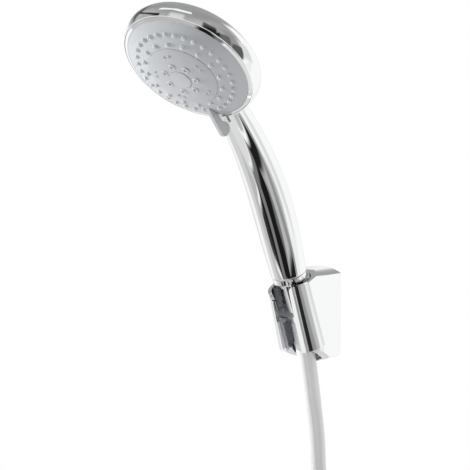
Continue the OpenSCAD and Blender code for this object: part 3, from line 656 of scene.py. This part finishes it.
FLARE_FRONT, FLARE_BACK, FLARE_STEPS, GRIP_STEPS = 3.0, 6.5, 9, 56
SETTLE_STEPS = 3                             # each flared point slides to its height in these
END_EDGE = [(10.5, 3.0), (10.5, 0.0), (12.9, 0.0), (13.35, 0.06), (13.66, 0.28), (13.8, 0.6)]
FIRST = 0.006                                # where the lines start, past the end's edge
SUNK, TUCK_IN, TUCK_BACK = 0.02, 1.2, 0.4    # the rim goes just under the bowl's skin
MARKS = np.linspace(0.75, 1.12, 150)
columns = []
for k in range(GRIP_SIDES):
    angle = 2 * pi * k / GRIP_SIDES
    flare = FLARE_FRONT + (FLARE_BACK - FLARE_FRONT) * (0.5 + 0.5 * sin(angle))
    gaps = np.array([off_bowl(grip_line(angle, t)[0])[0] for t in MARKS])
    leaves = np.interp(-flare, -gaps, MARKS)
    end_out = grip_line(angle, 0)[1]
    column = [GRIP_END + r * end_out + z * GRIP_UP for r, z in END_EDGE]
    column += [grip_line(angle, t)[0] for t in np.linspace(FIRST, leaves, GRIP_STEPS)[:-1]]
    for j in range(FLARE_STEPS + 1):
        turn = j / FLARE_STEPS * pi / 2
        height = flare * (1 - sin(turn))
        point, out = grip_line(angle, np.interp(-height, -gaps, MARKS))
        point = point + flare * (1 - cos(turn)) * out
        sunk = SUNK if j == FLARE_STEPS else 0.0
        for _ in range(SETTLE_STEPS):
            gap, away = off_bowl(point)
            point = point + (height - sunk - gap) * away
        column.append(point)
    column.append(column[-1] - TUCK_IN * off_bowl(column[-1])[1] - TUCK_BACK * out)
    columns.append(column)
print("grip:", GRIP_SIDES, "lines of", len(columns[0]), "points")

# %% Handset shell
verts, faces = turned(bowl_profile, sides=144)
verts = [ON_HEAD @ Vector(v) / MM for v in verts]      # back to millimetres, in the frame
rows = len(columns[0])
start = len(verts)
verts += [tuple(p) for column in columns for p in column]
for k in range(GRIP_SIDES):
    n = (k + 1) % GRIP_SIDES
    faces += [(start + k * rows + j, start + n * rows + j, start + n * rows + j + 1,
               start + k * rows + j + 1) for j in range(rows - 1)]
IN_FRAME = Matrix.Scale(MM, 4)
shell = new_piece("Handset_shell", verts, faces, IN_FRAME, sharp=40)
fit(weigh_normals(faces_outward(shell)), "handset", CHROME, "chrome_shell", "handset_shell")

# %% [markdown]
# A thin bright ring trims the mouth of the bowl. The spray face sits inside it: a shallow
# dome that turns with the lever. It is turned from one profile, with the step that takes the
# centre plate and the hub that runs on the post behind it.

# %% Trim ring and spray face
FACE_R, FACE_RISE, FACE_T, PLATE_R = 46.5, 11.4, 2.4, 26.8
RIM_DEPTH, RIM_T = 6.0, 2.2
HUB_R, HUB_FOOT, HUB_ROOF = 9.0, -9.4, -4.95
POST_R, SCREW_R, SCREW_SEAT, RECESS_R = 6.05, 3.55, -3.0, 5.0
DOME_R = (FACE_R**2 + FACE_RISE**2) / (2 * FACE_RISE)


def dome(r, off=0.0):
    """Height of the face's skin at radius r, or of a skin so far off it."""
    return FACE_RISE - DOME_R + sqrt((DOME_R + off)**2 - r * r)


trim_profile = rounded([(TRIM_IN, -RIM_DEPTH), (TRIM_OUT, -RIM_DEPTH), (TRIM_OUT, -1.1, 1.1),
                        (TRIM_IN, 0.1, 0.12)], 6)
trim = spin("Head_trim_ring", trim_profile, ON_HEAD, 160)
fit(trim, "handset", TRIM_CHROME, "chrome_trim", "head_trim_ring")

skin_top = [(r, dome(r)) for r in np.linspace(PLATE_R + 0.5, FACE_R - 0.8, 22)]
skin_under = [(r, dome(r, -FACE_T)) for r in np.linspace(FACE_R - 2.6, 9.2, 16)]
face_profile = rounded(
    [(SCREW_R, HUB_ROOF), (SCREW_R, SCREW_SEAT), (RECESS_R, SCREW_SEAT),
     (RECESS_R, dome(RECESS_R, -1))]
    + [(r, dome(r, -1)) for r in np.linspace(9, PLATE_R - 1, 8)]
    + [(PLATE_R + FIT, dome(PLATE_R, -1)), (PLATE_R + FIT, dome(PLATE_R), 0.25)]
    + skin_top + [(FACE_R, -0.02, 0.35), (FACE_R, -RIM_DEPTH), (FACE_R - RIM_T, -RIM_DEPTH),
                  (FACE_R - RIM_T, -0.9)]
    + skin_under + [(HUB_R, HUB_FOOT), (POST_R, HUB_FOOT), (POST_R, HUB_ROOF)])
face = spin("Spray_face", face_profile, ON_HEAD, 160)
fit(face, "spray_selector", FACE, "face_grey", "spray_face")

# %% [markdown]
# In the middle of the face lies a thin plate with the jets, and a cap over the screw. Both
# follow the dome, a little proud of it, so their rims show as fine bright and dark lines.

# %% Centre plate and cap
CAP_R, CAP_STEM_R, CAP_STEM = 8.0, 4.95, 4
PLATE_PROUD, CAP_PROUD, SEAT = 0.3, 0.65, -0.95      # off the dome
plate_profile = rounded(
    [(CAP_R + FIT, dome(CAP_R, SEAT)), (CAP_R + FIT, dome(CAP_R, PLATE_PROUD), 0.25)]
    + [(r, dome(r, PLATE_PROUD)) for r in np.linspace(CAP_R + 0.8, PLATE_R - 0.9, 16)]
    + [(PLATE_R, dome(PLATE_R, PLATE_PROUD), 0.45), (PLATE_R, dome(PLATE_R, SEAT))]
    + [(r, dome(r, SEAT)) for r in np.linspace(PLATE_R - 1.5, CAP_R + 1.5, 8)])
plate = spin("Centre_plate", plate_profile, ON_HEAD, 128)
fit(plate, "spray_selector", PLATE, "plate_grey", "centre_plate")

cap_profile = rounded(
    [(0.0, dome(0, CAP_PROUD))]
    + [(r, dome(r, CAP_PROUD)) for r in np.linspace(1, CAP_R - 1.1, 8)]
    + [(CAP_R, dome(CAP_R, CAP_PROUD), 0.5), (CAP_R, dome(CAP_R, SEAT)),
       (CAP_STEM_R, dome(RECESS_R, SEAT)), (CAP_STEM_R, FACE_RISE - CAP_STEM),
       (0.0, FACE_RISE - CAP_STEM)])
cap = spin("Centre_cap", cap_profile, ON_HEAD, 64)
fit(cap, "spray_selector", CAP, "cap_grey", "centre_cap")

# %% [markdown]
# The soft nozzles are little rubber cones that a thumb can rub clean of scale, each with a
# rounded tip and a pinhole. One cone is drawn as a turned profile and repeated round its
# circle, all in one mesh, because the real ones grow from one rubber mat.

# %% Nozzles
def studded(name, places, profile, sides, material, slot, node):
    """One small turned form repeated at many places (r, angle) on the dome, in one mesh."""
    verts, faces = [], []
    for r, angle in places:
        z = dome(r)
        raised = [(pr, pz + z) for pr, pz in profile]
        more, more_faces = turned(raised, sides, (r * cos(angle), r * sin(angle)), len(verts))
        verts += more
        faces += more_faces
    made = new_piece(name, verts, faces, ON_HEAD, sharp=50)
    fit(weigh_normals(faces_outward(made)), "spray_selector", material, slot, node)


LEVER_AT, FACE_MARK = radians(-87.3), radians(-83)
OUTER_R, OUTER_COUNT, INNER_R, INNER_COUNT = 37.2, 32, 30.0, 16
NOZZLE_R, NOZZLE_H, NOZZLE_ROOT, HOLE_DEPTH = 1.65, 1.7, -3.2, 1.2
STUD_SIDES, JET_SIDES = 20, 28
cone = rounded([(0, NOZZLE_ROOT), (NOZZLE_R, NOZZLE_ROOT), (NOZZLE_R, -0.55, 0.1),
                (1.64, 0.3, 0.2), (1.3, NOZZLE_H, 0.6), (0.4, NOZZLE_H, 0.12),
                (0.32, NOZZLE_H - HOLE_DEPTH), (0, NOZZLE_H - HOLE_DEPTH)], 3)
# The lever's root takes the first place of the outer circle.
outer = [(OUTER_R, FACE_MARK + 2 * pi * i / OUTER_COUNT) for i in range(1, OUTER_COUNT)]
inner = [(INNER_R, FACE_MARK + pi * (2 * i + 1) / INNER_COUNT) for i in range(INNER_COUNT)]
studded("Outer_soft_nozzles", outer, cone, STUD_SIDES, RUBBER, "nozzle_rubber",
        "outer_nozzles")
studded("Inner_soft_nozzles", inner, cone, STUD_SIDES, RUBBER, "nozzle_rubber",
        "inner_nozzles")

# %% Jets in the plate
JET_RING, JET_COUNT = 12.2, 7
MIST_RING, MIST_PAIRS, MIST_APART = 20.7, 5, radians(6.1)
JET_ROOT = -3.0
jet = rounded([(0, JET_ROOT), (2.8, JET_ROOT), (2.8, 0.35, 0.3), (2.35, 0.9, 0.4),
               (1.25, 0.9, 0.25), (1.0, 0.3), (0.9, -2.6), (0, -2.6)], 3)
jets = [(JET_RING, FACE_MARK + pi + 2 * pi * i / JET_COUNT) for i in range(JET_COUNT)]
studded("Large_jets", jets, jet, JET_SIDES, JET, "jet_plastic", "jet_insert")
fine = rounded([(0, JET_ROOT), (1.3, JET_ROOT), (1.3, 0.5, 0.2), (1.1, 0.8, 0.25),
                (0.45, 0.8, 0.15), (0.4, -2.2), (0, -2.2)], 3)
mist = [(MIST_RING, FACE_MARK + pi + 2 * pi * i / MIST_PAIRS + side * MIST_APART)
        for i in range(MIST_PAIRS) for side in (-1, 1)]
studded("Fine_mist_jets", mist, fine, STUD_SIDES, JET, "jet_plastic", "mist_nozzles")

# %% [markdown]
# The selector lever is a thin upright fin: it rides over the trim and reaches past the edge
# of the head, where a thumb finds it. It is its side view pushed out to a thickness, and a
# bevel rounds it all round, as a moulded part is.

# %% Lever
LEVER_T, LEVER_REACH, LEVER_EDGE = 3.2, 64.0, 0.7
start_r, low_r = OUTER_R - 2.2, HEAD_R + 0.8
top_line = [(r, dome(r) + 0.12) for r in np.linspace(start_r, FACE_R, 8)]
side_view = top_line + [
    (FACE_R, 0.9), (low_r, 0.9), (low_r + 0.9, 0.0), (low_r + 3.6, -1.9),
    (LEVER_REACH - 4.5, -2.6), (LEVER_REACH - 1.4, -1.2), (LEVER_REACH, 1.8),
    (LEVER_REACH - 0.4, 5.2), (LEVER_REACH - 2.0, 7.4), (LEVER_REACH - 4.5, 8.2),
    (LEVER_REACH - 9.0, 7.9), (start_r + 1, dome(start_r + 1) + 1.2)]
LEVER_PLACE = ON_HEAD @ Matrix.Rotation(LEVER_AT, 4, "Z")
count = len(side_view)
verts = [(r, side * LEVER_T / 2, z) for side in (-1, 1) for r, z in side_view]
faces = [tuple(range(count)), tuple(range(2 * count - 1, count - 1, -1))]
faces += [(i, (i + 1) % count, count + (i + 1) % count, count + i) for i in range(count)]
lever = faces_outward(new_piece("Selector_lever", verts, faces, LEVER_PLACE, sharp=60))
fit(weigh_normals(round_edges(lever, LEVER_EDGE, 40)), "spray_selector", LEVER, "lever_grey",
    "selector_lever")

# %% [markdown]
# The bracket is one chromed moulding: a straight-sided block that narrows from the wall to a
# slotted tube. Its faces are already right in the frame, but knife-edged. A copy is welded,
# its flat facets are joined, and every edge gets a small bevel, so the chrome draws a bright
# line there as plating does. The same goes for the other plain solids that can be seen.

# %% Softened copies
WELD_DISTANCE = 2e-6
JOIN_DEGREES, SHARP_DEGREES = 2, 30


def softened(name, node, body, material, slot, width):
    """A copy of a CAD node with its facets joined and its edges bevelled; it replaces it."""
    work = bmesh.new()
    work.from_mesh(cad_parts[node].data)
    bmesh.ops.remove_doubles(work, verts=work.verts, dist=WELD_DISTANCE)
    bmesh.ops.dissolve_limit(work, angle_limit=radians(JOIN_DEGREES),
                             verts=work.verts, edges=work.edges)
    mesh = bpy.data.meshes.new(name)
    work.to_mesh(mesh)
    work.free()
    mesh.shade_smooth()
    mesh.set_sharp_from_angle(angle=radians(SHARP_DEGREES))
    made = bpy.data.objects.new(name, mesh)
    bpy.context.scene.collection.objects.link(made)
    fit(weigh_normals(round_edges(made, width, SHARP_DEGREES)), body, material, slot, node)


softened("Bracket_shell", "bracket_shell", "bracket", CHROME, "chrome_shell", 0.9)
softened("Cradle_liner", "cradle_liner", "bracket", LINER, "liner_grey", 0.35)
softened("Wall_plate", "wall_plate", "bracket", DARK_PLASTIC, "plate_plastic", 0.4)
softened("Lock_screw", "lock_screw", "bracket", STEEL, "steel", 0.2)
softened("Coil_strap", "coil_tie", "handset", DARK_PLASTIC, "plate_plastic", 0.25)
softened("Hose_end_ferrule", "hose_end_ferrule", "handset", STEEL, "steel", 0.25)
softened("Valve_nut", "valve_nut", "end_nut", TRIM_CHROME, "chrome_trim", 0.5)

# %% [markdown]
# The conical nut screws the hose to the grip and is what sits in the cradle. It is turned:
# a short ring that fingers can hold, then a slim cone down to the hose.

# %% Conical nut
FLANGE_R, FLANGE_H, CONE_TOP, CONE_FOOT, NUT_LEN = 13.5, 6.0, 10.3, 8.4, 40.0
THREAD_R, THREAD_LEN, WASHER_R, WASHER_SEAT = 10.4, 4.8, 8.6, 3.05
HOSE_FIT, RELIEF = 0.35, 0.3
nut_profile = rounded([
    (THREAD_R + FIT, -FIT), (FLANGE_R, -FIT, 0.5), (FLANGE_R, -FLANGE_H + 1.2, 0.8),
    (FLANGE_R - 1.4, -FLANGE_H, 0.5), (CONE_TOP, -FLANGE_H, 0.6), (CONE_FOOT, -NUT_LEN, 0.5),
    (HOSE_R + HOSE_FIT, -NUT_LEN, 0.2), (HOSE_R + HOSE_FIT, -THREAD_LEN - WASHER_SEAT),
    (WASHER_R + FIT, -THREAD_LEN - WASHER_SEAT), (WASHER_R + FIT, -THREAD_LEN - RELIEF),
    (THREAD_R + FIT, -THREAD_LEN - RELIEF)])
nut = spin("Conical_hose_nut", nut_profile, ON_AXIS, 128)
fit(nut, "hose_nut", TRIM_CHROME, "chrome_trim", "cone_nut")

# %% [markdown]
# What is left is inside the set or behind other pieces: the spigot, the strainer, the water
# pipe, the manifold and its valve. Their frame shapes are right as they are, so each only
# gets the finish of its real material.

# %% Inner pieces
INNER = {
    "inlet_spigot": BRASS, "inlet_filter": DARK_PLASTIC, "water_tube": WHITE_PLASTIC,
    "water_manifold": DARK_PLASTIC, "selector_seal": SEAL, "detent_spring": STEEL,
    "detent_pin": STEEL, "face_screw": STEEL, "valve_plate": WHITE_PLASTIC,
    "face_seal": SEAL, "hose_washer": SEAL, "hose_top_ferrule": STEEL, "valve_washer": SEAL,
}
for node, material in INNER.items():
    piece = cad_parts[node]
    piece.data.materials.clear()
    piece.data.materials.append(material)
print("inner pieces dressed:", len(INNER))
